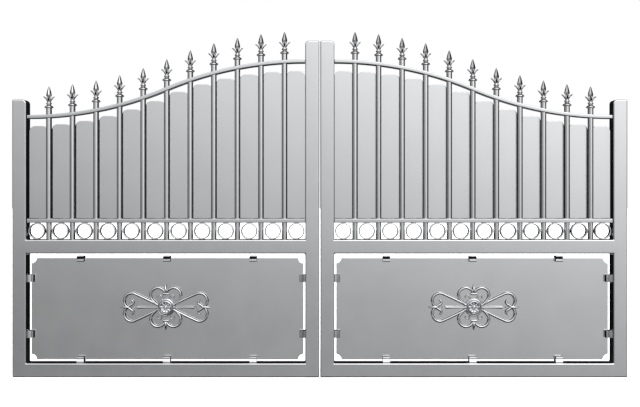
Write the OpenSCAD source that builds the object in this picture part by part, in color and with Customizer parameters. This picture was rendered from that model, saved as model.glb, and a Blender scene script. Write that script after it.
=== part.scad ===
// Double-leaf aluminium yard gate: ogee top rail, round balusters with cast finials, a row of
// rings, backing boards, and a clipped lower panel with a scroll ornament.
// Frame: origin on the wall face of the lower left hinge bracket; +X along the gate, +Y into the
// wall the gate hangs on, +Z up. The leaves hang in front of the wall (-Y) and open away from it.

/* [Gate] */
// Width over both leaves
gate_w = 3500; // [2800:10:4200]
// Height of the hinge stiles
hinge_h = 1580; // [1400:5:1900]
// How much taller the meeting stiles are
stile_rise = 335; // [260:5:420]
// Gap between the two leaves
centre_gap = 6; // [6:1:12]

/* [Frame tube] */
// Face width of the stiles and of the bottom and mid rails
frame_w = 80; // [60:1:100]
// Depth of the frame, front to back
frame_d = 80; // [80:1:100]
// Wall of the frame tube
frame_wall = 3; // [2:0.5:5]
// Radius of the stile's top corner on the infill side
stile_corner_r = 22; // [10:1:30]
// Depth of the plug that closes a stile's lower end
plug_h = 12; // [6:1:20]

/* [Rails] */
// Clear height of the panel opening, between bottom rail and mid rail
panel_opening_h = 623; // [500:1:750]
// Clear height of the ring row, between mid rail and ring rail
ring_row_h = 95; // [70:1:120]
// Height of the ring rail
ring_rail_h = 24; // [16:1:30]
// Thickness of the curved top rail
top_rail_t = 20; // [14:1:26]
// Depth of the two slim rails, front to back
slim_rail_d = 56; // [48:1:60]
// Top of the hinge stile down to the top rail's centre line
rail_drop_hinge = 97; // [80:1:120]
// Top of the meeting stile down to the top rail's centre line
rail_drop_meeting = 114; // [90:1:140]

/* [Balusters and finials] */
// Balusters on each leaf
baluster_count = 11; // [8:1:13]
// Outer diameter of a baluster
baluster_d = 32; // [25:1:40]
// Wall of a baluster tube
baluster_wall = 2; // [1.5:0.5:4]
// Top rail's centre line up to the top of a baluster
baluster_top = 48; // [40:1:80]
// Flange diameter of a finial
finial_flange_d = 50; // [44:1:60]
// Height of a finial above its baluster
finial_h = 125; // [110:1:160]
// Width across the tips of a finial's leaves
finial_leaf_w = 66; // [50:1:76]
// Width of the spear point
finial_spear_w = 32; // [24:1:36]

/* [Rings and boards] */
// Wall of a ring
ring_wall = 5; // [4:1:8]
// Depth of a ring, front to back
ring_depth = 24; // [16:1:30]
// Thickness of a board
board_t = 14; // [10:1:16]
// How far a board's edge laps behind a baluster
board_lap = 2.5; // [1:0.5:6]
// Radius of a board's shoulders
board_shoulder_r = 34; // [20:1:40]
// Top rail's centre line down to the top of a board
board_drop = 51; // [45:1:80]

/* [Panel] */
// Gap from the frame to the panel at the sides and the bottom
panel_gap = 12; // [8:1:16]
// Gap from the mid rail to the panel
panel_gap_top = 27; // [20:1:40]
// Thickness of the panel
panel_t = 14; // [6:1:16]
// Front of the frame back to the front of the panel
panel_setback = 60; // [50:1:62]
// Radius of the notched panel corners
panel_notch_r = 30; // [20:1:45]
// Length of a clip along the panel's edge
clip_length = 44; // [30:1:60]
// How far a clip laps over the panel
clip_lap = 25; // [15:1:35]
// How far a clip stands in front of the panel
clip_proud = 30; // [10:1:34]
// Thickness of a clip's back flange
clip_back_t = 4; // [2:0.5:4]

/* [Ornament] */
// Diameter of the round boss
boss_d = 105; // [90:1:120]
// Height of the boss above the panel
boss_h = 24; // [14:1:30]
// Width and thickness of the scroll bars
bar_w = 12; // [8:1:14]
// Shift of the ornament's centre towards the hinge
ornament_dx = 8; // [-20:1:20]
// Shift of the ornament's centre upwards
ornament_dz = 8; // [-20:1:20]

/* [Hinges] */
// Bottom of the leaf up to the lower hinge
hinge_low_z = 230; // [180:5:300]
// Top of the hinge stile down to the upper hinge
hinge_up_drop = 250; // [200:5:400]
// Outer side of the leaf in to the hinge axis
axis_inset = 12; // [10:1:16]
// Wall to the back of the leaf
wall_gap = 70; // [64:1:90]
// Back of the leaf back to the hinge axis
axis_setback = 28; // [24:1:32]
// Diameter of a hinge pin
pin_d = 20; // [16:1:22]
// Running clearance of a pin in its eye, on the radius
pin_clear = 0.08; // [0.05:0.01:0.1]
// Outer diameter of a hinge eye
eye_d = 32; // [28:1:36]
// Height of a hinge eye
eye_h = 60; // [40:1:80]
// Width of a wall plate
plate_w = 100; // [80:1:120]
// Height of a wall plate
plate_h = 130; // [110:1:160]
// Thickness of a wall plate
plate_t = 8; // [6:1:10]
// Bolt holes in a wall plate, across
bolt_dx = 70; // [56:1:90]
// Bolt holes in a wall plate, up
bolt_dz = 100; // [80:1:130]
// Diameter of a bolt hole
bolt_hole_d = 11; // [9:0.5:13]

/* [Hidden] */
$fn = 48;

seat = 0.3;      // gap between two seated pieces
cut = 1;         // how far a cutting tool runs past a face

// One leaf in its own x: 0 on the gate's centre line, growing towards the hinge side.
leaf_x0 = centre_gap / 2;
leaf_x1 = gate_w / 2;
infill_x0 = leaf_x0 + frame_w;
infill_x1 = leaf_x1 - frame_w;
infill_w = infill_x1 - infill_x0;
meeting_h = hinge_h + stile_rise;

// Depths are counted from the leaf's front face; y = 0 is the wall.
front_y = -wall_gap - frame_d;
mid_depth = frame_d / 2;
board_front = mid_depth + baluster_d / 2 + seat;

// Heights, from the bottom of the leaf
mid_rail_z = frame_w + panel_opening_h;
ring_z = mid_rail_z + frame_w;
ring_rail_z = ring_z + ring_row_h;
board_z = ring_rail_z + ring_rail_h;
rail_low_z = hinge_h - rail_drop_hinge;
rail_high_z = meeting_h - rail_drop_meeting;

// The top rail's centre line is two equal tangent arcs, level at both stiles.
rail_rise = rail_high_z - rail_low_z;
arc_r = (infill_w * infill_w + rail_rise * rail_rise) / (4 * rail_rise);
arc_fn = 1440;
function arc_drop(run) = arc_r - sqrt(arc_r * arc_r - run * run);
function rail_z(x) = x > (infill_x0 + infill_x1) / 2
    ? rail_low_z + arc_drop(infill_x1 - x)
    : rail_high_z - arc_drop(x - infill_x0);

// Bays between balusters, counted from the meeting stile
bay_w = (infill_w - baluster_count * baluster_d) / (baluster_count + 1);
pitch = bay_w + baluster_d;
function baluster_x(i) = infill_x0 + bay_w + baluster_d / 2 + i * pitch;
function bay_x(i) = infill_x0 + bay_w / 2 + i * pitch;

// Panel and ornament
panel_x0 = infill_x0 + panel_gap;
panel_x1 = infill_x1 - panel_gap;
panel_z0 = frame_w + panel_gap;
panel_z1 = mid_rail_z - panel_gap_top;
panel_back = panel_setback + panel_t;
clip_w = clip_lap + panel_gap;
clip_spread = 0.3165;         // outer clips from the middle one, as a part of the panel's width
side_clips = [0.253, 0.8];    // heights of the side clips, as parts of the panel's height
ornament_x = (panel_x0 + panel_x1) / 2 + ornament_dx;
ornament_z = (panel_z0 + panel_z1) / 2 + ornament_dz;

// Hinges
axis_x = leaf_x1 - axis_inset;
axis_y = -wall_gap + axis_setback;
hinge_up_z = hinge_h - hinge_up_drop;
plate_offset = 9;  // hinge axis out to the middle of a wall plate
plate_x = axis_x + plate_offset;
pin_r = pin_d / 2;
eye_r = eye_d / 2;
lug_h = 20;
strap_t = 6;
strap_h = 110;
strap_w = 62;
strap_edge = 10;  // outer side of the leaf in to the strap

frame_colour = "Silver";
cast_colour = "Gainsboro";
board_colour = "LightGray";
hinge_colour = "DarkGray";

// ---- placing ----

// Puts a leaf's piece in the gate's frame; the left leaf is the mirror of the right one.
module on_leaf(side) {
    translate([plate_x, 0, -hinge_low_z])
        mirror([side == "left" ? 1 : 0, 0, 0])
            children();
}

// A flat outline in x and z, standing from one depth of the leaf to another.
module in_depth(front, depth) {
    translate([0, front_y + front + depth, 0])
        rotate([90, 0, 0])
            linear_extrude(depth)
                children();
}

// ---- frame ----

// Outline of a stile: square at the outer top corner, rounded at the corner towards the infill.
module stile_outline(h, inset) {
    r = stile_corner_r - inset;
    w = frame_w - 2 * inset;
    translate([inset, 0]) {
        square([w, h - inset - r]);
        translate([r, 0])
            square([w - r, h - inset]);
        translate([r, h - inset - r])
            circle(r, $fn = 96);
    }
}

// A stile standing with its infill side at x = 0, open below.
module stile(h) {
    difference() {
        in_depth(0, frame_d)
            stile_outline(h, 0);
        translate([0, 0, -cut])
            in_depth(frame_wall, frame_d - 2 * frame_wall)
                stile_outline(h + cut, frame_wall);
    }
}

module hinge_stile() {
    color(frame_colour)
        translate([infill_x1, 0, 0])
            stile(hinge_h);
}

module meeting_stile() {
    color(frame_colour)
        translate([infill_x0, 0, 0])
            mirror([1, 0, 0])
                stile(meeting_h);
}

// A square tube lying between the stiles.
module frame_rail(z) {
    color(frame_colour)
        difference() {
            translate([infill_x0, front_y, z])
                cube([infill_w, frame_d, frame_w]);
            translate([infill_x0 - cut, front_y + frame_wall, z + frame_wall])
                cube([infill_w + 2 * cut, frame_d - 2 * frame_wall, frame_w - 2 * frame_wall]);
        }
}

module end_plugs() {
    bore = frame_w - 2 * frame_wall - 2 * seat;
    deep = frame_d - 2 * frame_wall - 2 * seat;
    color(hinge_colour)
        for (x = [leaf_x0, infill_x1])
            translate([x + frame_wall + seat, front_y + frame_wall + seat, 0])
                cube([bore, deep, plug_h]);
}

// ---- slim rails ----

module baluster_holes(z0, z1) {
    for (i = [0 : baluster_count - 1])
        translate([baluster_x(i), front_y + mid_depth, z0])
            cylinder(r = baluster_d / 2 + seat, h = z1 - z0);
}

module ring_rail() {
    color(frame_colour)
        difference() {
            translate([infill_x0, front_y + mid_depth - slim_rail_d / 2, ring_rail_z])
                cube([infill_w, slim_rail_d, ring_rail_h]);
            baluster_holes(ring_rail_z - cut, board_z + cut);
        }
}

// One arc of the top rail: a band of the circle about the centre, from straight down (-90) or
// up (90) round to the point where the two arcs meet.
module rail_arc(centre, from_angle, turn) {
    reach = 1.2 * arc_r;
    translate(centre)
        intersection() {
            difference() {
                circle(arc_r + top_rail_t / 2, $fn = arc_fn);
                circle(arc_r - top_rail_t / 2, $fn = arc_fn);
            }
            polygon([
                [0, 0],
                reach * [cos(from_angle), sin(from_angle)],
                reach * [cos(from_angle + turn), sin(from_angle + turn)]
            ]);
        }
}

// Two bent tubes, butted with a seat gap where the arcs meet.
module top_rail() {
    turn = asin(infill_w / 2 / arc_r) - asin(seat / 2 / arc_r);
    color(frame_colour)
        difference() {
            in_depth(mid_depth - slim_rail_d / 2, slim_rail_d) {
                rail_arc([infill_x1, rail_low_z + arc_r], -90, -turn);
                rail_arc([infill_x0, rail_high_z - arc_r], 90, -turn);
            }
            baluster_holes(rail_low_z - 2 * top_rail_t, rail_high_z + 2 * top_rail_t);
        }
}

// ---- balusters and finials ----

function baluster_z1(i) = rail_z(baluster_x(i)) + baluster_top;

module balusters() {
    color(frame_colour)
        for (i = [0 : baluster_count - 1])
            translate([baluster_x(i), front_y + mid_depth, ring_z])
                difference() {
                    cylinder(d = baluster_d, h = baluster_z1(i) - ring_z);
                    translate([0, 0, -cut])
                        cylinder(r = baluster_d / 2 - baluster_wall,
                                 h = baluster_z1(i) - ring_z + 2 * cut);
                }
}

// Turned base of a finial: spigot, flange, waist, bead and neck, as a half profile.
module finial_base() {
    spigot_r = baluster_d / 2 - baluster_wall - seat;
    flange_r = finial_flange_d / 2;
    rotate_extrude($fn = 48)
        polygon([
            [0, -20], [spigot_r, -20], [spigot_r, 0], [flange_r - 4, 0], [flange_r, 3],
            [flange_r, 6], [flange_r - 6, 12], [12, 16], [10, 20], [14, 22], [16, 26],
            [14, 30], [8, 33], [6.5, 38], [6.5, 46], [0, 46]
        ]);
}

// Two leaves in one flat plate, curving out from the neck.
module leaf_pair() {
    plate_t = 6;
    tip = finial_leaf_w / 2;
    for (m = [0, 1])
        mirror([m, 0, 0])
            translate([0, plate_t / 2, 0])
                rotate([90, 0, 0])
                    linear_extrude(plate_t)
                        polygon([
                            [0, 36], [7, 38], [11, 47], [20, 56], [tip, 66],
                            [tip - 3, 68], [18, 62], [9, 56], [0, 52]
                        ]);
}

// Four-sided spear point, an edge towards the front.
module spear() {
    spear_z0 = 46;
    spear_z1 = 75;
    translate([0, 0, spear_z0])
        cylinder(r1 = 5, r2 = finial_spear_w / 2, h = spear_z1 - spear_z0, $fn = 4);
    translate([0, 0, spear_z1])
        cylinder(r1 = finial_spear_w / 2, r2 = 0.8, h = finial_h - spear_z1, $fn = 4);
}

module finials() {
    color(cast_colour)
        for (i = [0 : baluster_count - 1])
            translate([baluster_x(i), front_y + mid_depth, baluster_z1(i)]) {
                finial_base();
                leaf_pair();
                rotate([0, 0, 90])
                    leaf_pair();
                spear();
            }
}

// ---- boards and rings ----

// Outline of a board between two edges, its top corners rounded.
module board_outline(x0, x1, z1) {
    r = board_shoulder_r;
    translate([x0, board_z])
        square([x1 - x0, z1 - board_z - r]);
    translate([x0 + r, board_z])
        square([x1 - x0 - 2 * r, z1 - board_z]);
    for (x = [x0 + r, x1 - r])
        translate([x, z1 - r])
            circle(r, $fn = 96);
}

// Each board stands on the ring rail and follows the top rail, taken a quarter bay up its rise.
module boards() {
    color(board_colour)
        for (i = [0 : baluster_count])
            in_depth(board_front, board_t)
                board_outline(
                    bay_x(i) - bay_w / 2 - (i > 0 ? board_lap : -seat),
                    bay_x(i) + bay_w / 2 + (i < baluster_count ? board_lap : -seat),
                    rail_z(max(infill_x0, bay_x(i) - pitch / 4)) - board_drop);
}

// Rings stand on the mid rail and fill their row, or the bay where that is the narrower.
module rings() {
    r = min(ring_row_h, bay_w) / 2 - seat / 2;
    color(frame_colour)
        for (i = [0 : baluster_count])
            in_depth(mid_depth - ring_depth / 2, ring_depth)
                translate([bay_x(i), ring_z + seat / 2 + r])
                    difference() {
                        circle(r, $fn = 96);
                        circle(r - ring_wall, $fn = 96);
                    }
}

// ---- lower panel ----

module panel() {
    color(board_colour)
        in_depth(panel_setback, panel_t)
            difference() {
                translate([panel_x0, panel_z0])
                    square([panel_x1 - panel_x0, panel_z1 - panel_z0]);
                for (x = [panel_x0, panel_x1], z = [panel_z0, panel_z1])
                    translate([x, z])
                        circle(panel_notch_r, $fn = 96);
            }
}

// A clip on an edge that runs along x at z = 0, the panel being above: a thick front flange with
// a rounded outer edge, a web, and a thin back flange, 0.3 mm clear of the panel.
module clip() {
    body_front = panel_setback - clip_proud;
    body_back = panel_back + seat + clip_back_t;
    round_r = min(12, clip_proud - 4);
    difference() {
        translate([-clip_length / 2, front_y + body_front, -panel_gap])
            cube([clip_length, body_back - body_front, clip_w]);
        translate([-clip_length / 2 - cut, front_y + panel_setback - seat, -seat])
            cube([clip_length + 2 * cut, panel_t + 2 * seat, clip_w]);
        translate([-clip_length / 2 - cut, front_y + body_front, -panel_gap])
            rotate([90, 0, 90])
                linear_extrude(clip_length + 2 * cut)
                    difference() {
                        translate([-cut, -cut])
                            square(round_r + cut);
                        translate([round_r, round_r])
                            circle(round_r);
                    }
    }
}

// Three clips along the bottom and the top, two at each side.
module panel_clips() {
    mid_x = (panel_x0 + panel_x1) / 2;
    clip_dx = (panel_x1 - panel_x0) * clip_spread;
    color(cast_colour) {
        for (x = [mid_x - clip_dx, mid_x, mid_x + clip_dx]) {
            translate([x, 0, panel_z0])
                clip();
            translate([x, 0, panel_z1])
                mirror([0, 0, 1])
                    clip();
        }
        for (part = side_clips) {
            z = panel_z0 + part * (panel_z1 - panel_z0);
            translate([panel_x0, 0, z])
                rotate([0, 90, 0])
                    clip();
            translate([panel_x1, 0, z])
                rotate([0, -90, 0])
                    clip();
        }
    }
}

// ---- ornament ----

// Puts a piece on the panel's front at the ornament's centre, its z axis towards the front.
module on_panel() {
    translate([ornament_x, front_y + panel_setback - seat, ornament_z])
        rotate([90, 0, 0])
            children();
}

module boss() {
    r = boss_d / 2;
    color(cast_colour)
        on_panel()
            rotate_extrude($fn = 96)
                polygon([
                    [0, 0], [r - 3, 0], [r, 4], [r, 10], [r - 4, 14], [r - 8, 14], [r - 10, 11],
                    [r - 12, boss_h - 4], [r - 15, boss_h - 2], [r - 18, boss_h - 4],
                    [r - 20, 10], [12, 7], [9, 9], [8, 15], [4, 18], [0, 19]
                ]);
}

// Outline of a bar bent along an arc about a centre, counter-clockwise from one angle to another.
module bar_arc(centre, r, from_angle, to_angle) {
    steps = 3;
    reach = 2 * r + bar_w;
    turn = (to_angle - from_angle) / steps;
    translate(centre)
        intersection() {
            difference() {
                circle(r + bar_w / 2, $fn = 96);
                circle(r - bar_w / 2, $fn = 96);
            }
            polygon(concat([[0, 0]], [
                for (i = [0 : steps])
                    reach * [cos(from_angle + i * turn), sin(from_angle + i * turn)]
            ]));
        }
}

// Outline of a straight bar between two points, with a width at each end.
module bar(a, b, w0, w1) {
    side = [a[1] - b[1], b[0] - a[0]] / norm(b - a);
    polygon([a - side * w0 / 2, b - side * w1 / 2, b + side * w1 / 2, a + side * w0 / 2]);
}

function on_arc(centre, r, a) = centre + r * [cos(a), sin(a)];

// One quadrant of the scrolls, the one up and towards +x.
module scroll_quarter() {
    loop_c = [45, 70];
    loop_r = 42;
    loop_from = -42;
    heart_c = [194, 37];
    heart_r = 44;
    heart_to = 126.4;
    heart_from = -55;
    // clover loop, from the collar round to the boss
    bar_arc(loop_c, loop_r, loop_from, 162);
    bar(on_arc(loop_c, loop_r, loop_from), [48, 14], bar_w, bar_w);
    // heart loop, from the boss out and back past the crossing
    bar([40, 14], on_arc(heart_c, heart_r, heart_to), bar_w, bar_w);
    bar_arc(heart_c, heart_r, heart_from, heart_to);
    bar(on_arc(heart_c, heart_r, heart_from), [190, -20], bar_w, bar_w * 0.7);
    // tendril above the boss
    bar([16, 46], [47, 57], bar_w * 0.6, bar_w * 0.4);
}

// A turned teardrop bud with its round end at the origin, its point along x.
module bud(length, width) {
    rotate([0, 90, 0])
        rotate_extrude($fn = 32)
            polygon([
                [0, 0], [width * 0.25, length * 0.05], [width * 0.5, length * 0.35],
                [width * 0.42, length * 0.6], [width * 0.2, length * 0.85], [0, length]
            ]);
}

module scrolls() {
    bud_w = 18;
    spear_x = 164;
    color(cast_colour)
        on_panel() {
            linear_extrude(bar_w)
                difference() {
                    for (mx = [0, 1], mz = [0, 1])
                        mirror([mx, 0])
                            mirror([0, mz]) {
                                scroll_quarter();
                                bar([40, 0], [spear_x, 0], bar_w * 0.7, bar_w);
                                bar([spear_x - cut, 0], [216, 0], bar_w / 2, bar_w / 2);
                                bar([0, 50], [0, 92], bar_w, bar_w);
                            }
                    circle(d = boss_d + 2 * seat, $fn = 96);
                }
            for (mx = [0, 1])
                mirror([mx, 0, 0])
                    translate([212, 0, bud_w / 2])
                        bud(52, bud_w);
            for (mz = [0, 1])
                mirror([0, mz, 0])
                    translate([0, 84, bud_w / 2])
                        rotate([0, 0, 90])
                            bud(46, bud_w);
        }
}

// ---- hinges ----

// Hinge eyes on the back of the hinge stile: a screwed strap with a barrel that takes the pin.
module hinge_eye(z) {
    barrel_z = z + seat;
    difference() {
        union() {
            translate([axis_x, axis_y, barrel_z])
                cylinder(d = eye_d, h = eye_h);
            translate([axis_x - eye_r / 2, -wall_gap + strap_t - cut, barrel_z])
                cube([eye_r, axis_setback - strap_t + cut, eye_h]);
            translate([leaf_x1 - strap_edge - strap_w, -wall_gap, barrel_z - (strap_h - eye_h) / 2])
                cube([strap_w, strap_t, strap_h]);
        }
        translate([axis_x, axis_y, barrel_z - cut])
            cylinder(r = pin_r + pin_clear, h = eye_h + 2 * cut);
    }
}

module hinge_eyes() {
    color(hinge_colour)
        for (z = [hinge_low_z, hinge_up_z])
            hinge_eye(z);
}

// A wall bracket: bolted plate, a lug that carries the eye, and the pin standing on the lug.
module wall_bracket(z) {
    pin_h = eye_h + 6;
    color(hinge_colour)
        difference() {
            union() {
                translate([plate_x - plate_w / 2, -plate_t, z - plate_h / 2])
                    cube([plate_w, plate_t, plate_h]);
                translate([axis_x - eye_r, axis_y, z - lug_h])
                    cube([eye_d, -axis_y - plate_t + cut, lug_h]);
                translate([axis_x, axis_y, z - lug_h])
                    cylinder(d = eye_d, h = lug_h);
                translate([axis_x, axis_y, z - cut])
                    cylinder(r = pin_r, h = pin_h + cut);
            }
            for (dx = [-bolt_dx / 2, bolt_dx / 2], dz = [-bolt_dz / 2, bolt_dz / 2])
                translate([plate_x + dx, cut, z + dz])
                    rotate([90, 0, 0])
                        cylinder(d = bolt_hole_d, h = plate_t + 2 * cut);
        }
}

// ---- nodes ----

on_leaf("left") wall_bracket(hinge_low_z);  // left_wall_bracket_lower
on_leaf("left") wall_bracket(hinge_up_z);  // left_wall_bracket_upper
on_leaf("right") wall_bracket(hinge_low_z);  // right_wall_bracket_lower
on_leaf("right") wall_bracket(hinge_up_z);  // right_wall_bracket_upper
on_leaf("left") hinge_stile();  // left_hinge_stile
on_leaf("left") meeting_stile();  // left_meeting_stile
on_leaf("left") frame_rail(0);  // left_bottom_rail
on_leaf("left") frame_rail(mid_rail_z);  // left_mid_rail
on_leaf("left") ring_rail();  // left_ring_rail
on_leaf("left") top_rail();  // left_top_rail
on_leaf("left") balusters();  // left_balusters
on_leaf("left") finials();  // left_finials
on_leaf("left") boards();  // left_boards
on_leaf("left") rings();  // left_rings
on_leaf("left") panel();  // left_panel
on_leaf("left") panel_clips();  // left_panel_clips
on_leaf("left") boss();  // left_boss
on_leaf("left") scrolls();  // left_scrolls
on_leaf("left") hinge_eyes();  // left_hinge_eyes
on_leaf("left") end_plugs();  // left_end_plugs
on_leaf("right") hinge_stile();  // right_hinge_stile
on_leaf("right") meeting_stile();  // right_meeting_stile
on_leaf("right") frame_rail(0);  // right_bottom_rail
on_leaf("right") frame_rail(mid_rail_z);  // right_mid_rail
on_leaf("right") ring_rail();  // right_ring_rail
on_leaf("right") top_rail();  // right_top_rail
on_leaf("right") balusters();  // right_balusters
on_leaf("right") finials();  // right_finials
on_leaf("right") boards();  // right_boards
on_leaf("right") rings();  // right_rings
on_leaf("right") panel();  // right_panel
on_leaf("right") panel_clips();  // right_panel_clips
on_leaf("right") boss();  // right_boss
on_leaf("right") scrolls();  // right_scrolls
on_leaf("right") hinge_eyes();  // right_hinge_eyes
on_leaf("right") end_plugs();  // right_end_plugs
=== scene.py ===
# %% [markdown]
# # A double-leaf aluminium yard gate
# The imported model gives the sizes and the places of everything, in metres, with +Z up. The gate
# hangs in front of a wall face at y = 0, and its show side faces -Y. Here the plain solids get
# the looks of the real pieces: rounded tube edges, cast finials, a forged-looking ornament.
# The script starts by loading that frame.

# %% Load the frame
from math import asin, cos, hypot, pi, radians, sin, sqrt

import bpy
from mathutils import Matrix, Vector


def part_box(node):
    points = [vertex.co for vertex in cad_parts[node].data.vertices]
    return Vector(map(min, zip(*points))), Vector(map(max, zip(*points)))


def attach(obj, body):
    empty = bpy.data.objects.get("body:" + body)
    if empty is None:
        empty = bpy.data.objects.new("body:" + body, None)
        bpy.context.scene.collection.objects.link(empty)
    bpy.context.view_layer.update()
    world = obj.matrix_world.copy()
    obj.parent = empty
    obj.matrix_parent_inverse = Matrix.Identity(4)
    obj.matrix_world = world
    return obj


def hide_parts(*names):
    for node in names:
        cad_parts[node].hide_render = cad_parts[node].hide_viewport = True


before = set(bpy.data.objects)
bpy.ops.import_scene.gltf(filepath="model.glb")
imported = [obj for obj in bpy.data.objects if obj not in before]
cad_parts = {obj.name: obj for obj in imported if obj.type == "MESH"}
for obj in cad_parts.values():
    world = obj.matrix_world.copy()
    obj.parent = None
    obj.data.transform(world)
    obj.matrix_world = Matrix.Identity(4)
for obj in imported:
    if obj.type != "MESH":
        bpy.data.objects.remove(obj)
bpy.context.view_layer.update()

print("nodes in the frame:", len(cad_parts))

# %% [markdown]
# ## Sizes of one leaf
# Both leaves are the same but for their hand, so only the right one is modelled. Its sizes are
# millimetres as a maker writes them: x from the gate's middle, depth from the leaf's front face
# and z from the leaf's bottom. One function turns them into metres in the frame.

# %% Sizes and places
MM = 0.001
BODY_FRONT, GATE_MIDDLE, GATE_BOTTOM = -150.0, 1747.0, -230.0
LEAF_X0, LEAF_X1 = 3.0, 1750.0            # meeting side, hinge side
TUBE = 80.0                               # face width and depth of the frame tube
INFILL_X0, INFILL_X1 = LEAF_X0 + TUBE, LEAF_X1 - TUBE
MEETING_H, HINGE_H = 1915.0, 1580.0       # the two stiles
MID_RAIL_Z = 703.0
RING_Z, RING_ROW = 783.0, 95.0
BOARD_Z = 902.0                           # top of the ring rail
RAIL_LOW, RAIL_HIGH, RAIL_T = 1483.0, 1801.0, 20.0
SLIM_FRONT, SLIM_DEPTH = 12.0, 56.0       # the ring rail and the top rail, front to back
MID = TUBE / 2                            # depth of the leaf's middle
BARS, BAR_D = 11, 32.0
BAR_TOP = 48.0                            # top rail's centre line up to a baluster's mouth
BOARD_FRONT, BOARD_T = 56.3, 14.0
BOARD_DROP, BOARD_LAP = 51.0, 5.0         # below the top rail's centre line; behind a bar
PANEL = (95.0, 1658.0, 92.0, 676.0)       # x0, x1, z0, z1
PANEL_FRONT, PANEL_T = 60.0, 14.0
SEAT = 0.3                                # gap between two seated pieces


def leaf(x, depth, z):
    """A place on the right leaf, from millimetres to the frame's metres."""
    return ((GATE_MIDDLE + x) * MM, (BODY_FRONT + depth) * MM, (GATE_BOTTOM + z) * MM)


INFILL_W = INFILL_X1 - INFILL_X0
BAY = (INFILL_W - BARS * BAR_D) / (BARS + 1)
PITCH = BAY + BAR_D
BAR_X = [INFILL_X0 + BAY + BAR_D / 2 + i * PITCH for i in range(BARS)]
BAY_X = [INFILL_X0 + BAY / 2 + i * PITCH for i in range(BARS + 1)]
RISE = RAIL_HIGH - RAIL_LOW
ARC_R = (INFILL_W ** 2 + RISE ** 2) / (4 * RISE)


def rail_z(x):
    """Height of the curved top rail's centre line: two equal arcs that meet halfway."""
    def drop(run):
        return ARC_R - sqrt(ARC_R ** 2 - run ** 2)
    if x > (INFILL_X0 + INFILL_X1) / 2:
        return RAIL_LOW + drop(INFILL_X1 - x)
    return RAIL_HIGH - drop(x - INFILL_X0)


print(f"bay {BAY:.1f} mm, pitch {PITCH:.1f} mm, arc radius {ARC_R:.0f} mm")

# %% [markdown]
# ## Tools for modelling
# Each piece starts as a primitive at its size and place, and is shaped in edit mode. The
# operators work on whatever is selected, so everything is deselected before each start, and
# faces and corners are then picked by where they are.

# %% Helpers
def start(name):
    """Names the primitive just added and puts its place into its mesh."""
    obj = bpy.context.object
    obj.name = obj.data.name = name
    bpy.ops.object.transform_apply(location=True, rotation=True, scale=True)
    return obj


def clear():
    if bpy.context.object and bpy.context.object.mode != "OBJECT":
        bpy.ops.object.mode_set(mode="OBJECT")
    bpy.ops.object.select_all(action="DESELECT")


def pick(obj, kind, test):
    """Selects the corners or the faces of a piece whose place and direction pass a test."""
    if obj.mode != "OBJECT":
        bpy.ops.object.mode_set(mode="OBJECT")
    mesh = obj.data
    for group in (mesh.vertices, mesh.edges, mesh.polygons):
        group.foreach_set("select", [False] * len(group))
    tools = bpy.context.scene.tool_settings
    tools.mesh_select_mode = (kind == "VERT", False, kind == "FACE")
    if kind == "VERT":
        for v in mesh.vertices:
            v.select = test(v.co)
    if kind == "FACE":
        for f in mesh.polygons:
            f.select = test(f.center, f.normal)
    bpy.ops.object.mode_set(mode="EDIT")


def all_faces(obj):
    pick(obj, "FACE", lambda middle, normal: True)


def tidy_mesh(obj):
    """Merges doubles, turns every face outwards and goes back to object mode."""
    all_faces(obj)
    bpy.ops.mesh.remove_doubles(threshold=1e-6)
    bpy.ops.mesh.normals_make_consistent(inside=False)
    bpy.ops.object.mode_set(mode="OBJECT")
    return obj


def plate(name, x0, x1, z0, z1, depth):
    """A flat sheet in the leaf's plane, facing the front, ready to be cut and thickened."""
    clear()
    bpy.ops.mesh.primitive_plane_add(
        size=1, rotation=(pi / 2, 0, 0), location=leaf((x0 + x1) / 2, depth, (z0 + z1) / 2))
    bpy.context.object.scale = ((x1 - x0) * MM, (z1 - z0) * MM, 1)
    return start(name)


def saw(obj, at_x=None, at_z=None):
    """Cuts new edges across a sheet at an x or a height."""
    all_faces(obj)
    if at_x is not None:
        bpy.ops.mesh.bisect(plane_co=leaf(at_x, 0, 0), plane_no=(1, 0, 0))
    if at_z is not None:
        bpy.ops.mesh.bisect(plane_co=leaf(0, 0, at_z), plane_no=(0, 0, 1))


def round_corner(obj, corners, radius, segments=8, profile=0.5):
    """Rounds corners of a sheet, given as x and z, before it is thickened."""
    places = [leaf(x, 0, z) for x, z in corners]
    pick(obj, "VERT", lambda co: any(abs(co.x - p[0]) < 1e-4 and abs(co.z - p[2]) < 1e-4 for p in places))
    bpy.ops.mesh.bevel(offset_type="OFFSET", offset=radius * MM, segments=segments,
                       profile=profile, affect="VERTICES")


def thicken(obj, depth):
    """Extrudes a whole sheet backwards and closes it."""
    all_faces(obj)
    bpy.ops.mesh.extrude_region_move(TRANSFORM_OT_translate={"value": (0, depth * MM, 0)})
    return tidy_mesh(obj)


def soften(obj, width, segments=3, angle=35):
    """Rounds every edge sharper than an angle with a bevel, and applies it."""
    bevel = obj.modifiers.new("edges", "BEVEL")
    bevel.width, bevel.segments = width * MM, segments
    bevel.limit_method, bevel.angle_limit = "ANGLE", radians(angle)
    clear()
    bpy.context.view_layer.objects.active = obj
    obj.select_set(True)
    bpy.ops.object.modifier_apply(modifier=bevel.name)
    return obj


def copy_of(obj, matrix, name=None):
    """A copy with its own mesh, moved by a matrix that is put into the mesh."""
    twin = obj.copy()
    twin.data = obj.data.copy()
    bpy.context.scene.collection.objects.link(twin)
    twin.data.transform(matrix)
    if matrix.determinant() < 0:
        twin.data.flip_normals()
    if name:
        twin.name = twin.data.name = name
    return twin


def weld(objs, name):
    """Joins pieces into one."""
    clear()
    for obj in objs:
        obj.select_set(True)
    bpy.context.view_layer.objects.active = objs[0]
    if len(objs) > 1:
        bpy.ops.object.join()
    joined = bpy.context.view_layer.objects.active
    joined.name = joined.data.name = name
    return joined


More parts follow.
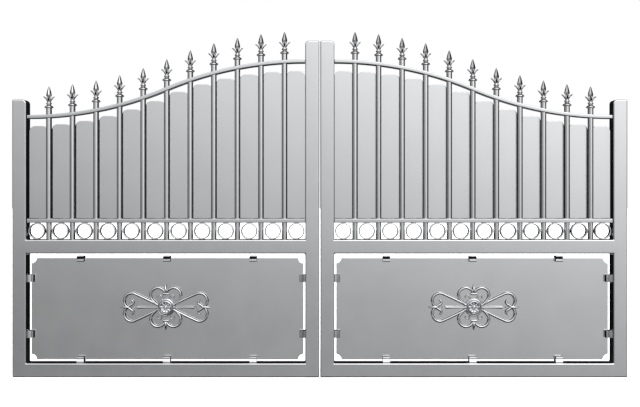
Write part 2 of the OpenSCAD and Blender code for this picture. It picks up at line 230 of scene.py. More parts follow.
def shift(x=0.0, depth=0.0, z=0.0):
    return Matrix.Translation((x * MM, depth * MM, z * MM))


pieces = {}

# %% [markdown]
# ## The leaf's frame
# The real frame is square aluminium tube with rounded edges, mitred and welded, then ground so
# that no seam shows. It could be four tubes, but then each seam would show, so it is one sheet:
# a rectangle sawn along the edges of the members, with the openings deleted, thickened to the
# tube's depth, and with a bevel that runs round every opening.

# %% Leaf frame
sheet = plate("right_frame", LEAF_X0, LEAF_X1, 0, MEETING_H, 0)
for x in (INFILL_X0, INFILL_X1):
    saw(sheet, at_x=x)
for z in (TUBE, MID_RAIL_Z, RING_Z, HINGE_H):
    saw(sheet, at_z=z)


def in_opening(middle, normal):
    x, z = middle.x / MM - GATE_MIDDLE, middle.z / MM - GATE_BOTTOM
    if INFILL_X0 < x < INFILL_X1:
        return TUBE < z < MID_RAIL_Z or z > RING_Z
    return x > INFILL_X1 and z > HINGE_H


pick(sheet, "FACE", in_opening)
bpy.ops.mesh.delete(type="FACE")
round_corner(sheet, [(INFILL_X0, MEETING_H), (INFILL_X1, HINGE_H)], 22, segments=10)
thicken(sheet, TUBE)
soften(sheet, 7.0, segments=5)
# The stiles' lower ends are open, and a plug sits in each.
pick(sheet, "FACE", lambda m, n: n.z < -0.99 and m.z < leaf(0, 0, 1)[2]
     and not INFILL_X0 < m.x / MM - GATE_MIDDLE < INFILL_X1)
bpy.ops.mesh.extrude_region_move(TRANSFORM_OT_translate={"value": (0, 0, 13 * MM)})
bpy.ops.object.mode_set(mode="OBJECT")
pieces["right_frame"] = sheet
print("leaf frame faces:", len(sheet.data.polygons))

# %% [markdown]
# ## The two slim rails
# The ring rail is a straight flat tube, and the top rail is the same kind of tube bent to two
# equal arcs. The bend is a spin: the tube's end section is turned about one arc's centre as far
# as the middle, and then about the other one's.

# %% Slim rails
rail = plate("right_ring_rail", INFILL_X0, INFILL_X1, RING_Z + RING_ROW, BOARD_Z, SLIM_FRONT)
thicken(rail, SLIM_DEPTH)
soften(rail, 3.0)
pieces["right_ring_rail"] = rail

clear()
bpy.ops.mesh.primitive_plane_add(size=1, rotation=(0, pi / 2, 0), location=leaf(INFILL_X1, MID, RAIL_LOW))
bpy.context.object.scale = (RAIL_T * MM, SLIM_DEPTH * MM, 1)
top = start("right_top_rail")
all_faces(top)
half_turn = asin(INFILL_W / 2 / ARC_R)
bpy.ops.mesh.spin(steps=40, angle=-half_turn, axis=(0, 1, 0),
                  center=leaf(INFILL_X1, MID, RAIL_LOW + ARC_R))
bpy.ops.mesh.spin(steps=40, angle=half_turn, axis=(0, 1, 0),
                  center=leaf(INFILL_X0, MID, RAIL_HIGH - ARC_R))
tidy_mesh(top)
soften(top, 3.5)
pieces["right_top_rail"] = top
top_zs = [v.co.z / MM - GATE_BOTTOM for v in top.data.vertices]
top_xs = [v.co.x / MM - GATE_MIDDLE for v in top.data.vertices]
print(f"top rail x {min(top_xs):.0f} to {max(top_xs):.0f}, z {min(top_zs):.0f} to {max(top_zs):.0f} mm")

# %% [markdown]
# ## Turned pieces
# A turned piece is a disc that is extruded a little along its axis and resized, again and again,
# as its outline asks. That leaves a closed solid with no seam and no open pole, which a spun
# outline would need to have merged. The same tool makes tubes, finial bases, the boss and bolts.

# %% A turning tool
def turn(name, outline, segments):
    """Turns (radius, height) steps about the z axis, in millimetres, at the origin."""
    clear()
    radius, height = outline[0]
    bpy.ops.mesh.primitive_circle_add(
        vertices=segments, radius=radius * MM, fill_type="NGON", location=(0, 0, height * MM))
    obj = start(name)
    all_faces(obj)
    for new_radius, new_height in outline[1:]:
        bpy.ops.mesh.extrude_region_move(
            TRANSFORM_OT_translate={"value": (0, 0, (new_height - height) * MM)})
        factor = new_radius / radius
        bpy.ops.transform.resize(value=(factor, factor, 1), center_override=(0, 0, new_height * MM))
        radius, height = new_radius, new_height
    return tidy_mesh(obj)


# %% [markdown]
# ## Balusters
# Each baluster is a 32 mm round tube that stands on the mid rail and runs up through both slim
# rails. One is turned with its chamfered foot and its open mouth, and each copy has its upper
# end lifted to where the top rail passes.

# %% Balusters
FIRST_H = 900.0
tube = turn("tube", [(14.8, 0), (16, 1.0), (16, FIRST_H - 1.2), (15.6, FIRST_H - 0.3), (14.9, FIRST_H),
                     (14.1, FIRST_H - 0.4), (14, FIRST_H - 12)], 48)
bars = []
for x in BAR_X:
    bar = copy_of(tube, Matrix.Translation(leaf(x, MID, RING_Z)))
    lift = (rail_z(x) + BAR_TOP - RING_Z - FIRST_H) * MM
    for v in bar.data.vertices:
        if v.co.z > leaf(0, 0, RING_Z + FIRST_H / 2)[2]:
            v.co.z += lift
    bars.append(bar)
bpy.data.objects.remove(tube)
pieces["right_balusters"] = weld(bars, "right_balusters")
print("balusters:", len(bars))

# %% [markdown]
# ## Finials
# Each finial is one casting: a turned foot with a flange, a waist and a bead, four leaves that
# curl out of the neck, and a four-sided spear. A leaf is a small grid bent along its middle
# line, with a crease down its middle, then given a thickness and smoothed. The spear is turned,
# and then its corners are drawn in, so that it keeps the real one's four soft ridges.

# %% One finial
foot = turn("foot", [
    (13.6, -10), (13.6, 0), (21, 0), (23.6, 0.9), (24.8, 2.8), (25, 4.6), (24.3, 7.2), (21.8, 9.8),
    (18.2, 12.2), (14.4, 14.4), (11.8, 16.8), (11, 18.6), (12, 20.2), (14.4, 21.8), (15.8, 24),
    (16, 26), (15.6, 28.2), (13.8, 30.4), (11, 32.2), (8.8, 33.6), (7.6, 36), (7.1, 39), (7.4, 43),
    (6.6, 47), (4.5, 50)], 40)
spear = turn("spear", [
    (4.8, 45), (6.6, 50), (9.6, 57), (12.8, 64.5), (15.2, 70.5), (16, 75), (15.3, 80), (13.6, 88),
    (11.2, 97), (8.2, 107), (4.8, 117), (2.0, 123.2), (0.5, 124.9)], 16)
for v in spear.data.vertices:             # four soft ridges: a section between a circle and a diamond
    r = hypot(v.co.x, v.co.y)
    squeeze = ((abs(v.co.x) / r) ** 1.4 + (abs(v.co.y) / r) ** 1.4) ** (-1 / 1.4)
    v.co.x, v.co.y = v.co.x * squeeze, v.co.y * squeeze

LEAF_LINE = [(6.4, 35, 5.0), (8.2, 41, 7.4), (10.4, 47, 9.4), (13.6, 52.6, 10.4), (18, 57.6, 9.6),
             (23.2, 61.8, 7.2), (28.2, 64.8, 4.2), (31.8, 66.4, 1.4)]
clear()
bpy.ops.mesh.primitive_grid_add(x_subdivisions=4, y_subdivisions=len(LEAF_LINE) - 1, size=2)
cast_leaf = start("cast_leaf")
for v in cast_leaf.data.vertices:
    row = round((v.co.y + 1) / 2 * (len(LEAF_LINE) - 1))
    side = v.co.x
    out, up, half = LEAF_LINE[row]
    droop = 2.2 * abs(side) ** 1.5 * half / 8
    v.co = ((out + droop * 0.6) * MM, side * half * MM, (up - droop) * MM)
shell = cast_leaf.modifiers.new("thickness", "SOLIDIFY")
shell.thickness, shell.offset = 6.0 * MM, 0
smooth = cast_leaf.modifiers.new("smooth", "SUBSURF")
smooth.levels = smooth.render_levels = 1
clear()
bpy.context.view_layer.objects.active = cast_leaf
cast_leaf.select_set(True)
bpy.ops.object.modifier_apply(modifier=shell.name)
bpy.ops.object.modifier_apply(modifier=smooth.name)
tidy_mesh(cast_leaf)
leaves = [copy_of(cast_leaf, Matrix.Rotation(k * pi / 2, 4, "Z") @ Matrix.Diagonal(
    (1, 1, 1, 1) if k % 2 == 0 else (0.66, 0.62, 0.94, 1))) for k in range(4)]
bpy.data.objects.remove(cast_leaf)
finial = weld([foot, spear] + leaves, "finial")
print("finial faces:", len(finial.data.polygons))

# %% All finials
finials = [copy_of(finial, Matrix.Translation(leaf(x, MID, rail_z(x) + BAR_TOP))) for x in BAR_X]
bpy.data.objects.remove(finial)
pieces["right_finials"] = weld(finials, "right_finials")

# %% [markdown]
# ## Boards
# Behind the balusters stand flat boards with round shoulders, one to a bay, their edges tucked
# behind the bars. Each is a sheet with its two upper corners rounded, thickened and softened,
# and its height follows the top rail.

# %% Boards
boards = []
for i, x in enumerate(BAY_X):
    x0 = x - BAY / 2 - (BOARD_LAP if i else -SEAT)
    x1 = x + BAY / 2 + (BOARD_LAP if i < BARS else -SEAT)
    z1 = rail_z(max(INFILL_X0, x - PITCH / 4)) - BOARD_DROP
    board = plate(f"board_{i}", x0, x1, BOARD_Z, z1, BOARD_FRONT)
    round_corner(board, [(x0, z1), (x1, z1)], 34, segments=10)
    thicken(board, BOARD_T)
    boards.append(soften(board, 2.5))
pieces["right_boards"] = weld(boards, "right_boards")
print("boards:", len(boards))

# %% [markdown]
# ## Rings
# A ring is a slice of round tube. A circle of edges is extruded inwards to the tube's wall and
# the flat ring is extruded to its depth.

# %% Rings
RING_R, RING_WALL, RING_DEPTH = (RING_ROW - SEAT) / 2, 8.0, 32.0
clear()
bpy.ops.mesh.primitive_circle_add(
    vertices=64, radius=RING_R * MM, fill_type="NOTHING", rotation=(pi / 2, 0, 0))
ring = start("ring")
pick(ring, "VERT", lambda co: True)
bpy.ops.mesh.extrude_region_move()
inner = (RING_R - RING_WALL) / RING_R
bpy.ops.transform.resize(value=(inner, 1, inner), center_override=(0, 0, 0))
thicken(ring, RING_DEPTH)
soften(ring, 3.2)
rings = [copy_of(ring, Matrix.Translation(leaf(x, MID - RING_DEPTH / 2, RING_Z + RING_ROW / 2)))
         for x in BAY_X]
bpy.data.objects.remove(ring)
pieces["right_rings"] = weld(rings, "right_rings")
print("rings:", len(rings))

# %% [markdown]
# ## The lower panel and its clips
# The panel is a thick flat sheet with its corners notched in a hollow quarter round. Cast clips
# hold it off the frame: a face that leans towards the panel, a groove above the panel's edge, and
# a flat flange over the panel. Their section is drawn once as a closed outline and extruded.

# %% Panel
px0, px1, pz0, pz1 = PANEL
panel = plate("right_panel", px0, px1, pz0, pz1, PANEL_FRONT)
HOLLOW = 0.086                            # bevel profile of a nearly circular hollow
round_corner(panel, [(x, z) for x in (px0, px1) for z in (pz0, pz1)], 30, segments=10, profile=HOLLOW)
thicken(panel, PANEL_T)
soften(panel, 4.0, segments=4)
pieces["right_panel"] = panel
print("panel faces:", len(panel.data.polygons))

# %% Clips
CLIP_L = 41.0
CLIP_SPREAD = 0.3165                      # outer clips from the panel's middle, as a share of its width
SIDE_CLIPS = (0.253, 0.8)                 # up the panel's sides, as shares of its height
# (across the panel's edge, depth in the leaf), going round the section
CLIP_SECTION = [
    (-12, 33), (-11.2, 30.8), (-9.6, 30.1), (-7.6, 30.6), (-2, 32.6), (6.2, 36), (7.2, 39), (8.8, 39),
    (9.6, 33.4), (11, 31.2), (12.6, 30.6), (16, 30.6), (18.6, 31.8), (20.2, 34.4), (20.6, 38), (20.6, 59.7),
    (-0.3, 59.7), (-0.3, 74.3), (25, 74.3), (25, 78.3), (-12, 78.3)]
clear()
bpy.ops.mesh.primitive_circle_add(vertices=len(CLIP_SECTION), radius=0.03, fill_type="NGON")
clip = start("clip")
for v, (across, depth) in zip(clip.data.vertices, CLIP_SECTION):
    v.co = (-CLIP_L / 2 * MM, depth * MM, across * MM)
all_faces(clip)
bpy.ops.mesh.extrude_region_move(TRANSFORM_OT_translate={"value": (CLIP_L * MM, 0, 0)})
tidy_mesh(clip)
soften(clip, 1.2, segments=2, angle=50)
mid_x, spread = (px0 + px1) / 2, (px1 - px0) * CLIP_SPREAD
places = [(mid_x + k * spread, z, turned) for z, turned in ((pz0, 0), (pz1, 180)) for k in (-1, 0, 1)]
for part in SIDE_CLIPS:
    places += [(px0, pz0 + part * (pz1 - pz0), 90), (px1, pz0 + part * (pz1 - pz0), -90)]
clips = [copy_of(clip, Matrix.Translation(leaf(x, 0, z)) @ Matrix.Rotation(radians(a), 4, "Y"))
         for x, z, a in places]
bpy.data.objects.remove(clip)
pieces["right_panel_clips"] = weld(clips, "right_panel_clips")
print("clips:", len(clips))

# %% [markdown]
# ## The ornament's boss
# A round cast boss: an outer rim, a groove, a tall inner rim and a dish with eight petals about
# a bead. The rims are turned, and a petal is a small turned dome stretched to a petal's shape.

# %% Boss
ORNAMENT = (884.5, 392.0)                 # its centre in x and z


def on_panel(across, up, height):
    """A place on the ornament: across and up from its centre, height off the panel."""
    return leaf(ORNAMENT[0] + across, PANEL_FRONT - SEAT - height, ORNAMENT[1] + up)


TO_FRONT = Matrix.Rotation(pi / 2, 4, "X")
rims = turn("rims", [
    (52, 0), (52.5, 1.5), (52.5, 6.5), (51.6, 9.8), (49.8, 12), (47.4, 12.8), (45.2, 12), (43.6, 9.8),
    (42.6, 8.8), (41.6, 10), (40.8, 14.2), (39.4, 18.4), (37.2, 21), (34.8, 21.8), (32.8, 20.6),
    (31.4, 17.6), (30.2, 12.6), (27, 9.2), (21, 7.2), (14, 7), (10.6, 8.2), (9.8, 10.4), (9.6, 13.4), (8.2, 16.4),
    (5.6, 18.6), (2.6, 19.5), (0.6, 19.7)], 96)
petal = turn("petal", [(7.2, 0), (7.2, 3), (6.6, 5), (5.2, 6.8), (3.2, 8), (1, 8.5)], 20)
petal.data.transform(Matrix.Diagonal((1.25, 0.8, 1, 1)))
petals = [copy_of(petal, Matrix.Rotation(k * pi / 4, 4, "Z") @ shift(x=20.5, z=5.5)) for k in range(8)]
bpy.data.objects.remove(petal)
boss = weld([rims] + petals, "right_boss")
boss.data.transform(Matrix.Translation(on_panel(0, 0, 0)) @ TO_FRONT)
pieces["right_boss"] = boss
print("boss faces:", len(boss.data.polygons))

# %% [markdown]
# ## The scrolls
# Round bars of about 15 mm are bent into loops above and below the boss and a heart at each
# side, with a leaf bud at each end. The shape is the same in all four quarters, so one quarter
# is drawn as lines through arcs, given the bar's thickness, and mirrored. A curve with a round
# section is the quickest way to a bent bar that tapers; it is turned into a mesh at once.

# %% A bar bender
ROD = 7.4


def arc(centre, radius, from_deg, to_deg, steps):
    return [(centre[0] + radius * cos(radians(from_deg + (to_deg - from_deg) * k / steps)),
             centre[1] + radius * sin(radians(from_deg + (to_deg - from_deg) * k / steps)))
            for k in range(steps + 1)]


def rod(name, line, radii, height=ROD + 2.4):
    """A round bar along a line on the ornament's plane, with a radius at each point."""
    clear()
    bpy.ops.curve.primitive_bezier_curve_add(location=(0, 0, 0))
    obj = bpy.context.object
    bend = obj.data
    bend.dimensions, bend.bevel_depth, bend.bevel_resolution = "3D", 1.0, 5
    bend.use_fill_caps = True
    bend.splines.clear()
    spline = bend.splines.new("POLY")
    spline.points.add(len(line) - 1)
    for point, (across, up), radius in zip(spline.points, line, radii):
        point.co = (*on_panel(across, up, height), 1)
        point.radius = radius * MM
    bpy.ops.object.convert(target="MESH")
    return tidy_mesh(start(name))


# %% One quarter of the scrolls
loop_c, loop_r = (45, 69.6), 42
loop = [(49, 12), (56, 19.6), (63, 27.2)] + arc(loop_c, loop_r, -42, 160, 44)
heart_c, heart_r = (194, 37), 44
heart = [(45, 14), (80, 31.5), (120, 51), (150, 65)] + arc(heart_c, heart_r, 124, -55, 40)
heart += [(211, -5.4), (203, -10.8)] + arc((199, -28), 13, 100, 262, 16)
heart_radii = [ROD] * (len(heart) - 17) + [ROD - 2.6 * k / 16 for k in range(17)]
tendril = [(20, 44), (22, 51)] + arc((36, 57), 12, 175, -30, 20)
tendril_radii = [4.6, 4.4] + [4.2 - 1.8 * k / 20 for k in range(21)]
quarter = weld([
    rod("loop", loop, [ROD] * (len(loop) - 8) + [ROD - 2.2 * k / 7 for k in range(8)]),
    rod("heart", heart, heart_radii),
    rod("tendril", tendril, tendril_radii, height=5)], "quarter")
print("a quarter's faces:", len(quarter.data.polygons))

# %% [markdown]
# ## Buds and the collar
# The buds at the four ends and the collars that tie the loops are turned pieces laid over on
# their side. Each arm's spear swells towards its flat end and holds its bud on a thin pin.

# %% Scrolls put together
mid = Matrix.Translation(on_panel(0, 0, 0))
quarters = [quarter]
for sx, sz in ((-1, 1), (1, -1), (-1, -1)):
    quarters.append(copy_of(quarter, mid @ Matrix.Diagonal((sx, 1, sz, 1)) @ mid.inverted()))
bud = turn("bud", [(2, -3), (4.6, -1), (7.2, 3), (8.8, 9), (9, 15), (8.2, 21), (6.4, 27.5), (4.2, 34.5),
                   (2.4, 41), (1, 46)], 24)
arm = turn("arm", [(5.2, 44), (5.6, 80), (6.6, 120), (8, 160), (7.8, 163.4), (6.8, 164.4), (2.6, 164.5),
                   (2.4, 176), (3.4, 178), (4.6, 181), (3.4, 184), (2, 186), (2.2, 205), (4.8, 207.5), (7.4, 211.5), (8.8, 218),
                   (9, 225), (8.2, 233), (6.4, 242), (4.2, 251), (2.2, 258.5), (0.8, 263)], 24)
collar = turn("collar", [(4.5, -18), (5.7, -17.2), (6.5, -14), (6.9, -8), (7, 0), (6.9, 8), (6.5, 14),
                         (5.7, 17.2), (4.5, 18)], 20)
lay_over = Matrix.Rotation(pi / 2, 4, "Y")
parts = []
for sign in (1, -1):
    hand = Matrix.Rotation(0 if sign > 0 else pi, 4, "Y")
    seat = Matrix.Translation(on_panel(0, 0, 10.4))
    parts.append(copy_of(arm, seat @ hand @ lay_over))
    parts.append(copy_of(bud, seat @ hand @ Matrix.Translation((0, 0, 85 * MM))))
    parts.append(copy_of(collar, Matrix.Translation(on_panel(0, sign * 77, 7.2)) @ lay_over))
for obj in (bud, arm, collar):
    bpy.data.objects.remove(obj)
pieces["right_scrolls"] = weld(quarters + parts, "right_scrolls")
print("scroll faces:", len(pieces["right_scrolls"].data.polygons))

# %% [markdown]
# ## The left leaf
# The left leaf is the right one's mirror image. Each piece is copied with its own mesh, mirrored
# about the gate's middle, and its faces are turned back to point outwards.

# %% Mirror the leaf
across_gate = shift(x=GATE_MIDDLE) @ Matrix.Diagonal((-1, 1, 1, 1)) @ shift(x=-GATE_MIDDLE)
for name in list(pieces):
    left = name.replace("right_", "left_")
    pieces[left] = copy_of(pieces[name], across_gate, left)
print("pieces:", len(pieces))

# %% [markdown]
# ## Bolts and screws
# Hexagon bolts with washers hold the brackets to the wall, and dome-head screws hold the hinge
# straps to the stiles. They are turned as well, the bolt's head with six sides. Their places
# come from the boxes of the nodes that they hold.

# %% Fixings
BOLT_X, BOLT_Z = 35, 50                   # from the bracket plate's middle
STRAP_X, STRAP_Z = (14, 40), (12, 98)     # from the hinge eyes' outer edge, and from their ends
washer = turn("washer", [(10.2, 0), (10.5, 0.3), (10.5, 1.7), (10.2, 2), (5, 2)], 32)
head = turn("head", [(9.6, 1.9), (9.8, 2.2), (9.8, 7.6), (9, 8.6), (6, 8.7)], 6)
bolt = weld([washer, head], "bolt")
screw = turn("screw", [(7.4, 0), (7.6, 0.6), (7.2, 2), (5.8, 3.4), (3.4, 4.2), (3, 4.2), (2.9, 2.4),
                       (1, 2.4)], 20)
for side in ("left", "right"):
    for level in ("lower", "upper"):
        low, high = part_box(f"{side}_wall_bracket_{level}")
        cx, cz = (low[0] + high[0]) / 2, (low[2] + high[2]) / 2
        bolts = [copy_of(bolt, Matrix.Translation((cx + dx * MM, -8 * MM, cz + dz * MM)) @ TO_FRONT)
                 for dx in (-BOLT_X, BOLT_X) for dz in (-BOLT_Z, BOLT_Z)]
        pieces[f"{side}_bolts_{level}"] = weld(bolts, f"{side}_bolts_{level}")
    low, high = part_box(f"{side}_hinge_eyes")
    back = Matrix.Rotation(-pi / 2, 4, "X")
    strap_x = [low[0] + x * MM if side == "right" else high[0] - x * MM for x in STRAP_X]
    strap_z = [low[2] + z * MM for z in STRAP_Z] + [high[2] - z * MM for z in reversed(STRAP_Z)]
    screws = [copy_of(screw, Matrix.Translation((x, -64 * MM, z)) @ back) for x in strap_x for z in strap_z]
    pieces[f"{side}_strap_screws"] = weld(screws, f"{side}_strap_screws")
bpy.data.objects.remove(bolt)
bpy.data.objects.remove(screw)
print("with fixings:", len(pieces))

# %% [markdown]
# ## Smooth shading that keeps flats flat
# Edges sharper than an angle stay crisp, the rest are shaded smooth, and normals weighted by
# face area keep the big faces flat right up to their rounded edges, as a ground tube looks.

# %% Shading
for obj in pieces.values():
    clear()
    bpy.context.view_layer.objects.active = obj
    obj.select_set(True)
    bpy.ops.object.shade_smooth_by_angle(angle=radians(38))
    flats = obj.modifiers.new("flats", "WEIGHTED_NORMAL")
    flats.keep_sharp = True
    bpy.ops.object.modifier_apply(modifier=flats.name)
print("shaded", len(pieces))

# %% [markdown]
# ## Tools for finishes
# Colours are written as on a screen and turned to linear light by one function. Another adds a
# node with its settings and links, and the rest are the few steps that the finishes share.

# %% Finish tools
def linear(hex_colour):
    """A hex colour as seen on a screen, to linear light with full alpha."""
    out = []
    for k in (1, 3, 5):
        c = int(hex_colour[k:k + 2], 16) / 255
        out.append(c / 12.92 if c <= 0.04045 else ((c + 0.055) / 1.055) ** 2.4)
    return (*out, 1.0)


def add_node(tree, kind, settings=(), links=()):
    """Adds a node. Settings are (input or property, value); links are (input, socket)."""
    node = tree.nodes.new(kind)
    for key, value in settings:
        if isinstance(key, int) or key in node.inputs:
            node.inputs[key].default_value = value
        else:
            setattr(node, key, value)
    for key, socket in links:
        tree.links.new(socket, node.inputs[key])
    return node


def new_finish(name):
    finish = bpy.data.materials.new(name)
    finish.use_nodes = True
    finish.node_tree.nodes.clear()
    return finish, finish.node_tree


def noise(tree, where, scale, detail):
    """Noise on the piece's own coordinates."""
    node = add_node(tree, "ShaderNodeTexNoise", [("Scale", scale), ("Detail", detail)],
                    [("Vector", where.outputs["Object"])])
    return node.outputs[0]


def tint(tree, socket, low, high):
    """A colour between two screen colours."""
    node = add_node(tree, "ShaderNodeMix", [("data_type", "RGBA"), (6, linear(low)), (7, linear(high))],
                    [(0, socket)])
    return node.outputs[2]


def roughness(tree, socket, low, high):
    """Roughness between two levels, over the middle of a noise."""
    node = add_node(tree, "ShaderNodeMapRange",
                    [("From Min", 0.3), ("From Max", 0.7), ("To Min", low), ("To Max", high)],
                    [("Value", socket)])
    return node.outputs[0]


def fine_bump(tree, socket, strength, distance):
    """A bump of a given strength and depth in metres."""
    node = add_node(tree, "ShaderNodeBump", [("Strength", strength), ("Distance", distance)],
                    [("Height", socket)])
    return node.outputs[0]


def surface(tree, settings, links):
    """The shader itself, joined to the material's output."""
    shade = add_node(tree, "ShaderNodeBsdfPrincipled", settings, links)
    add_node(tree, "ShaderNodeOutputMaterial", [], [("Surface", shade.outputs[0])])


# %% [markdown]
# ## Satin anodised aluminium
# Extruded tube, brushed lightly and anodised clear. The eye reads it as a pale grey metal whose
# highlights are broad and a little cloudy. The cloudiness is a slow change of roughness over
# about 60 mm, and the brushing is a fine bump; its real 0.1 mm lines are drawn at 1 mm.

# %% Satin anodised aluminium
satin, tree = new_finish("satin_anodised_aluminium")
where = add_node(tree, "ShaderNodeTexCoord")
cloud = noise(tree, where, 16.0, 3.0)
brush = noise(tree, where, 900.0, 2.0)
surface(tree, [("Metallic", 1.0)], [
    ("Base Color", tint(tree, cloud, "#E1E2E4", "#E6E7E9")),
    ("Roughness", roughness(tree, cloud, 0.145, 0.175)),
    ("Normal", fine_bump(tree, brush, 0.03, 0.0003))])

# %% [markdown]
# ## Satin sheet aluminium
# The boards and the panel are rolled plate with the same clear finish. Rolling leaves the plate
# a touch lighter and duller, with very faint long waves across it, drawn at 150 mm.

# %% Satin sheet aluminium
rolled, tree = new_finish("rolled_satin_aluminium")
where = add_node(tree, "ShaderNodeTexCoord")
wave = noise(tree, where, 6.5, 2.0)
grain = noise(tree, where, 700.0, 2.0)
surface(tree, [("Metallic", 1.0)], [
    ("Base Color", tint(tree, wave, "#E6E7E9", "#EBECED")),
    ("Roughness", roughness(tree, wave, 0.165, 0.2)),
    ("Normal", fine_bump(tree, grain, 0.03, 0.0003))])

# %% [markdown]
# ## Cast aluminium
# Finials, clips, boss and scrolls are sand cast and tumbled. The skin keeps a fine grit of about
# 1.5 mm, and it is slightly greyer than the tube.

# %% Cast aluminium
cast, tree = new_finish("cast_aluminium")
where = add_node(tree, "ShaderNodeTexCoord")
skin = noise(tree, where, 60.0, 4.0)
grit = noise(tree, where, 650.0, 3.0)
surface(tree, [("Metallic", 1.0)], [
    ("Base Color", tint(tree, skin, "#CDCED1", "#E4E5E7")),
    ("Roughness", roughness(tree, skin, 0.1, 0.15)),
    ("Normal", fine_bump(tree, grit, 0.03, 0.0004))])

# %% [markdown]
# ## Galvanised steel
# The hinge brackets and eyes are hot-dip galvanised. Zinc freezes in flat crystals, called
# spangle, about 9 mm across, each a slightly different grey and gloss. A cell pattern gives that.

# %% Galvanised steel
zinc, tree = new_finish("galvanised_steel")
where = add_node(tree, "ShaderNodeTexCoord")
spangle = add_node(tree, "ShaderNodeTexVoronoi", [("Scale", 110.0)], [("Vector", where.outputs["Object"])])
level = add_node(tree, "ShaderNodeSeparateColor", [], [("Color", spangle.outputs["Color"])])
gloss = add_node(tree, "ShaderNodeMapRange", [("To Min", 0.34), ("To Max", 0.5)], [("Value", level.outputs[1])])
surface(tree, [("Metallic", 1.0)], [
    ("Base Color", tint(tree, level.outputs[0], "#9DA2A6", "#C3C7CA")),
    ("Roughness", gloss.outputs[0])])

# %% [markdown]
# ## Moulded polyethylene
# The end plugs are moulded grey plastic with a fine spark-eroded texture, drawn at 1.5 mm.

# %% Moulded polyethylene
plug, tree = new_finish("moulded_grey_polyethylene")
where = add_node(tree, "ShaderNodeTexCoord")
pits = noise(tree, where, 650.0, 2.0)
surface(tree, [("Roughness", 0.55), ("IOR", 1.51)], [
    ("Base Color", tint(tree, pits, "#55585B", "#64676A")),
    ("Normal", fine_bump(tree, pits, 0.2, 0.0004))])
print("finishes:", len(bpy.data.materials))

# %% [markdown]
# ## Finishes on pieces, and what each piece rides on
# Each row of the table gives a piece's finish, the record's slot name for it, and the nodes whose shape
# the piece replaces. Every new piece rides on its leaf, the bolts on the hinge brackets. The hinge eyes,
# brackets and plugs keep their own shape and only get a finish.

# %% Put it together
LOOKS = {
    "frame": (satin, "frame_aluminium", ["hinge_stile", "meeting_stile", "bottom_rail", "mid_rail"]),
    "ring_rail": (satin, "frame_aluminium", ["ring_rail"]),
    "top_rail": (satin, "frame_aluminium", ["top_rail"]),
    "balusters": (satin, "frame_aluminium", ["balusters"]),
    "rings": (satin, "frame_aluminium", ["rings"]),
    "boards": (rolled, "board_aluminium", ["boards"]),
    "panel": (rolled, "board_aluminium", ["panel"]),
    "finials": (cast, "cast_aluminium", ["finials"]),
    "panel_clips": (cast, "cast_aluminium", ["panel_clips"]),
    "boss": (cast, "cast_aluminium", ["boss"]),
    "scrolls": (cast, "cast_aluminium", ["scrolls"]),
    "bolts_lower": (zinc, "hinge_steel", []),
    "bolts_upper": (zinc, "hinge_steel", []),
    "strap_screws": (zinc, "hinge_steel", []),
}
for name, obj in pieces.items():
    side, kind = name.split("_", 1)
    finish, slot_name, nodes = LOOKS[kind]
    obj.data.materials.clear()
    obj.data.materials.append(finish)
    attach(obj, "hinge_brackets" if kind.startswith("bolts") else f"{side}_leaf")
    if nodes:
        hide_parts(*[f"{side}_{node}" for node in nodes])

for name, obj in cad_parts.items():
    finish = plug if name.endswith("end_plugs") else zinc
    if not obj.material_slots:
        obj.data.materials.append(finish)
    for slot in obj.material_slots:
        slot.material = finish
BROAD = ("frame", "boards", "panel", "ring_rail", "top_rail")
for name, obj in pieces.items():          # round bars mirror the studio, not the broad faces beside them
    obj.visible_glossy = name.split("_", 1)[1] not in BROAD
print("dressed", len(pieces), "pieces")

# %% [markdown]
# ## Floor, light and camera
# A polished metal shows its surroundings, so the studio is mostly what it reflects: a wide soft
# light in front that grows brighter to the right and upwards, and dark behind and underfoot. Low
# down it is as bright behind as in front. A camera sees plain white. One soft lamp straight above
# lights the floor.

# %% Floor
clear()
bpy.ops.mesh.primitive_plane_add(size=80, location=(1.747, 0, -0.33))
floor = start("floor")
floor_paint, tree = new_finish("matt_white_floor_paint")
where = add_node(tree, "ShaderNodeTexCoord")
surface(tree, [("Roughness", 0.9)], [
    ("Base Color", tint(tree, noise(tree, where, 0.6, 2.0), "#F3F3F3", "#F6F6F6"))])
floor.data.materials.append(floor_paint)
floor.visible_glossy = False

# %% Surroundings
world = bpy.data.worlds.new("studio")
bpy.context.scene.world = world
world.use_nodes = True
tree = world.node_tree
tree.nodes.clear()


def ramp(tree, socket, stops):
    """A grey ramp through (place, level) stops."""
    node = add_node(tree, "ShaderNodeValToRGB", [], [(0, socket)])
    bar = node.color_ramp
    bar.interpolation = "LINEAR"
    while len(bar.elements) < len(stops):
        bar.elements.new(1.0)
    for element, (place, value) in zip(bar.elements, stops):
        element.position = place
    for element, (place, value) in zip(bar.elements, stops):
        element.color = (value, value, value, 1)
    return node.outputs[0]


# level by the sine of the height of view, from straight down to straight up
BY_HEIGHT = [(-1, 0.0), (-0.62, 0.0), (-0.5, 0.1), (-0.4, 0.22), (-0.3, 0.28), (-0.21, 0.32), (-0.13, 0.40),
             (0.0, 0.63), (0.07, 0.76), (0.15, 0.92), (0.27, 1.2), (0.42, 1.9), (0.8, 1.9), (0.93, 1.5), (1, 0.9)]
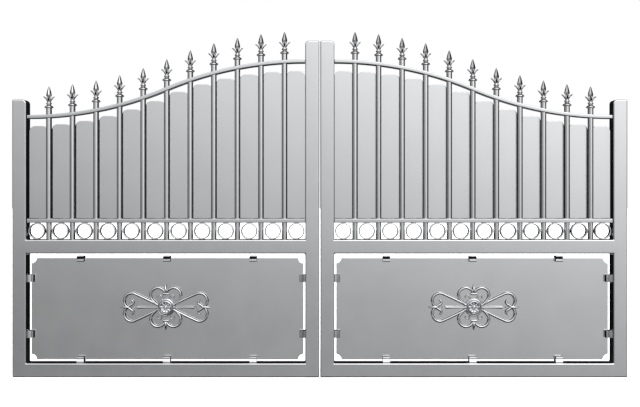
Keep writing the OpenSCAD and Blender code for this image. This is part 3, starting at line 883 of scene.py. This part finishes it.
# level by turn in degrees, from behind over the left, the front and the right to behind
BY_TURN = [(-180, 0.01), (-105, 0.01), (-88, 0.1), (-74, 0.38), (-48, 0.44), (-19, 0.71), (0, 1.0),
           (19, 1.33), (36, 1.4), (52, 0.7), (66, 0.14), (84, 0.01), (180, 0.01)]
TOP_BY_HEIGHT, TOP_BY_TURN = 1.9, 1.5     # the levels that count as 1 in each ramp
looking = add_node(tree, "ShaderNodeTexCoord")
axes = add_node(tree, "ShaderNodeSeparateXYZ", [], [(0, looking.outputs["Generated"])])
height01 = add_node(tree, "ShaderNodeMapRange", [("From Min", -1.0), ("From Max", 1.0)],
                    [("Value", axes.outputs[2])])
by_height = ramp(tree, height01.outputs[0], [((1 + z) / 2, value / TOP_BY_HEIGHT) for z, value in BY_HEIGHT])
to_front = add_node(tree, "ShaderNodeMath", [("operation", "MULTIPLY"), (1, -1.0)], [(0, axes.outputs[1])])
turn_angle = add_node(tree, "ShaderNodeMath", [("operation", "ARCTAN2")],
                      [(0, axes.outputs[0]), (1, to_front.outputs[0])])
turn01 = add_node(tree, "ShaderNodeMapRange", [("From Min", -pi), ("From Max", pi)],
                  [("Value", turn_angle.outputs[0])])
by_turn = ramp(tree, turn01.outputs[0], [((180 + a) / 360, value / TOP_BY_TURN) for a, value in BY_TURN])
# near the floor the turn matters less and less
below = add_node(tree, "ShaderNodeMapRange",
                 [("From Min", -0.26), ("From Max", -0.21), ("To Min", 1.0), ("To Max", 0.0)],
                 [("Value", axes.outputs[2])])
evened = add_node(tree, "ShaderNodeMix", [("data_type", "FLOAT"), (3, 0.95)],
                  [(0, below.outputs[0]), (2, by_turn)])
level = add_node(tree, "ShaderNodeMath", [("operation", "MULTIPLY")], [(0, by_height), (1, evened.outputs[0])])
seen = add_node(tree, "ShaderNodeBackground", [("Strength", TOP_BY_TURN * TOP_BY_HEIGHT)],
                [("Color", level.outputs[0])])
plain = add_node(tree, "ShaderNodeBackground", [("Color", (1, 1, 1, 1)), ("Strength", 1.0)])
path = add_node(tree, "ShaderNodeLightPath")
both = add_node(tree, "ShaderNodeMixShader", [], [(0, path.outputs["Is Camera Ray"]), (1, seen.outputs[0]),
                                                  (2, plain.outputs[0])])
add_node(tree, "ShaderNodeOutputWorld", [], [("Surface", both.outputs[0])])
print("world nodes:", len(tree.nodes))

# %% Lamp and camera
lamp_data = bpy.data.lights.new("overhead", "SUN")
lamp_data.energy, lamp_data.angle = 7.0, radians(120)
lamp = bpy.data.objects.new("overhead", lamp_data)
bpy.context.scene.collection.objects.link(lamp)
lamp.location = (1.747, 0, 4)
lamp.visible_glossy = False

EYE_AHEAD, EYE_UP, LENS = 5.083, 1.094, 50.3
camera_data = bpy.data.cameras.new("camera")
camera_data.lens, camera_data.sensor_width = LENS, 36
camera_data.shift_y = -0.0289
camera = bpy.data.objects.new("camera", camera_data)
bpy.context.scene.collection.objects.link(camera)
camera.location = (1.747 + 0.0013, -0.150 - EYE_AHEAD, -0.230 + EYE_UP)
camera.rotation_euler = (pi / 2, 0, 0)
bpy.context.scene.camera = camera
bpy.context.scene.view_settings.view_transform = "Standard"
